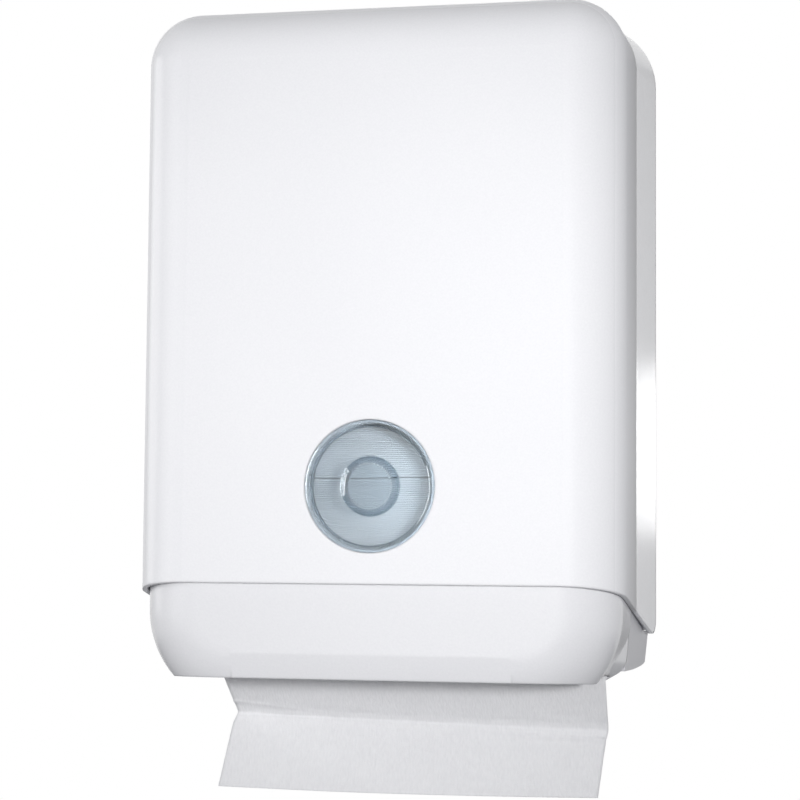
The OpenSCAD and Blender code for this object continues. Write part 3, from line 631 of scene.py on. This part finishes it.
def sheet_points():
    """The points of the front and then of the back, and the length from outlet to cut edge."""
    front, back = [], []
    for c in range(columns):
        share = c / (columns - 1)
        line = sheet_line(share)
        down = [0.0]
        for a, b in zip(line, line[1:]):
            down.append(down[-1] + (b - a).length)
        crease = down[crease_step]
        sag = -edge_sag * math.sin(math.pi * share)
        for i, p in enumerate(line):
            ahead = line[min(i + 1, len(line) - 1)] - line[max(i - 1, 0)]
            out = Vector((1, 0, 0)).cross(ahead).normalized()
            out = out if out.y < 0 else -out
            p = p + out * relief(share, down[i], crease)
            p.z += sag * max(0, down[i] - crease) / (down[-1] - crease)
            front.append(p + out * sheet_t / 2)
            back.append(p - out * sheet_t / 2)
    return front + back, down[-1]

points, drop = sheet_points()
print("points in the sheet:", len(points), "length:", round(drop, 4))

# %% [markdown]
# ## The hanging sheet
# The faces of the front and the back are two grids, and a strip of faces round the rim joins
# them.

def sheet_faces(rows):
    """The faces of the front, of the back and of the rim between them."""
    total = columns * rows
    front = grid_faces(0, columns, rows, False)
    back = [tuple(total + v for v in reversed(f)) for f in front]
    rim = [c * rows for c in range(columns)] \
        + [(columns - 1) * rows + r for r in range(1, rows)] \
        + [c * rows + rows - 1 for c in range(columns - 2, -1, -1)] \
        + list(range(rows - 2, 0, -1))
    return front + back + [(a, b, total + b, total + a) for a, b in zip(rim, rim[1:] + rim[:1])]

faces = sheet_faces(len(points) // (2 * columns))
towel = mesh_piece("hanging_sheet", points, faces, paper)
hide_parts("hanging_towel")
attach(towel, "base")

# %% [markdown]
# ## The floor
# The dispenser hangs on a wall, so the floor is well below it. Light that bounces up from a
# pale floor would make the underside too bright, so the floor is hidden from diffuse rays. Only
# rays from the camera see it lit up by a little glow, which keeps it pale in other views without
# more light on the object.

# %% Floor
def pale(name, tone, glow):
    """A pale finish that the camera sees brighter by glow."""
    paint = Finish(name)
    colour = mix(grain(paint, 0.5), tone, tuple(min(1, 1.02 * c) for c in tone))
    plain = paint.skin(Base_Color=colour, Roughness=0.8)
    lit = paint.skin(Base_Color=colour, Roughness=0.8, Emission_Color=colour,
        Emission_Strength=glow)
    return paint.done(blend(paint.node("ShaderNodeLightPath", out="Is Camera Ray"), plain, lit))

floor_half, floor_drop = 3.5, 1.15
corners = [(x * floor_half, y * floor_half, 0) for x, y in ((-1, -1), (1, -1), (1, 1), (-1, 1))]
floor = mesh_piece("floor", corners, [(0, 1, 2, 3)], pale("floor_pale", (0.86, 0.86, 0.87), 0.62))
floor.location = (0, 0, -floor_drop)
floor.visible_diffuse = False
print("floor at z =", floor.location.z)

# %% [markdown]
# ## How a lamp is placed
# A lamp round an object is easiest to think of as on a ball: how far to the side, how high and
# how far away. All of them point at the middle of the dispenser. Most are discs, whose size
# makes their shadows soft. A lamp with a beam is a spot, which fades away from its middle.

# %% A soft lamp
aim = Vector((0.0, -0.08, -0.02))

def lamp(name, azimuth, height, away, size, power, mirrored=True, beam=None):
    """A round soft lamp: azimuth to the right of straight ahead and height up, in degrees,
    then distance and size in metres, power in watts and the beam's width in degrees."""
    azimuth, height = math.radians(azimuth), math.radians(height)
    place = aim + away * Vector((math.sin(azimuth) * math.cos(height),
        -math.cos(azimuth) * math.cos(height), math.sin(height)))
    light = bpy.data.lights.new(name, "SPOT" if beam else "AREA")
    light.energy = power
    if beam:
        light.shadow_soft_size = size / 2
        light.spot_size, light.spot_blend = math.radians(beam), 1
    else:
        light.shape, light.size = "DISK", size
    stand = bpy.data.objects.new(name, light)
    stand.location = place
    stand.rotation_euler = (aim - place).to_track_quat("-Z", "Y").to_euler()
    stand.visible_glossy = mirrored
    bpy.context.scene.collection.objects.link(stand)
    return stand

print("lamps point at:", [round(v, 3) for v in aim])

# %% [markdown]
# ## The lamps
# The key lamp stands to the right, nearly at the height of the window, as the shadow of the
# window's rim on the towels shows. It is a small spot with a beam that fades outwards, which
# dims the cover towards its edges. A broad lamp in front and one at the left soften the
# shadows, and one at the far left shows as a gloss on the left edge. One lamp throws only the
# glints on the window: light linking keeps it off everything else. A small one behind the right
# side gives the long gleam on the skirt, and one above and behind lights the back and the top
# for other views.

# %% Lamps
# Each lamp: azimuth, height, distance, size and power
lamp("key", 28, 1.5, 2.05, 0.22, 122, mirrored=False, beam=25)
lamp("front_soft", 4, -3, 2.2, 1.4, 6)
lamp("left_soft", -58, 6, 2.0, 1.3, 14.5, mirrored=False)
lamp("left_window", -100, 8, 1.5, 0.9, 3.1)
glint = lamp("left_glint", -68, 6, 1.6, 1.2, 60)
glint.light_linking.receiver_collection = bpy.data.collections.new("window_only")
glint.light_linking.receiver_collection.objects.link(window)
lamp("side_gleam", 158, 0.75, 1.25, 0.2, 0.42)
lamp("back_soft", 180, 35, 2.2, 0.9, 32, mirrored=False)

# %% [markdown]
# ## A dark card for the gloss
# White gloss on a white background has no edge. A studio puts a dark card just outside the
# picture: the side of the cover mirrors it, and the edge shows. This one stands behind the
# object and is hidden from every ray but the glossy ones.

# %% Dark card
card_y, card_half, card_top = 0.6, 0.3, 0.35
corners = [(x, card_y, z) for x in (-card_half, card_half) for z in (-card_half, card_top)]
black = Finish("black_card")
card = mesh_piece("dark_card", corners, [(0, 1, 3, 2)],
    black.done(black.skin(Base_Color=(0.01, 0.01, 0.01), Roughness=0.9)))
for ray in ("camera", "diffuse", "transmission", "shadow"):
    setattr(card, "visible_" + ray, False)
print("dark card seen in gloss:", card.visible_glossy)

# %% [markdown]
# ## The background
# The world lights the object from all sides at a low level. To the camera, in gloss and through
# the window it shows as plain white instead, which Light Path tells apart. A ray that has left
# the towels by a diffuse bounce gets the low level again, even through the window: otherwise
# the white would light them from outside and wash out their shadows.

# %% Background
studio = Finish("studio", bpy.data.worlds.new("studio"))
camera_ray, glossy_ray, window_ray, bounces = (studio.node("ShaderNodeLightPath", out=name)
    for name in ("Is Camera Ray", "Is Glossy Ray", "Is Transmission Ray", "Diffuse Depth"))
seen = camera_ray.maths("MAXIMUM", camera_ray, glossy_ray)
seen = seen.maths("MAXIMUM", seen, window_ray)
fill = studio.node("ShaderNodeBackground", Color=(0.93, 0.95, 1.0), Strength=0.17)
white = studio.node("ShaderNodeBackground", Color=(1, 1, 1))
bpy.context.scene.world = studio.done(blend((seen - bounces).clamped(), fill, white),
    "ShaderNodeOutputWorld")
bpy.context.scene.view_settings.view_transform = "Standard"
print("world nodes:", len(studio.tree.nodes))

# %% [markdown]
# ## The end
# Nothing here changes the real size of the solids.
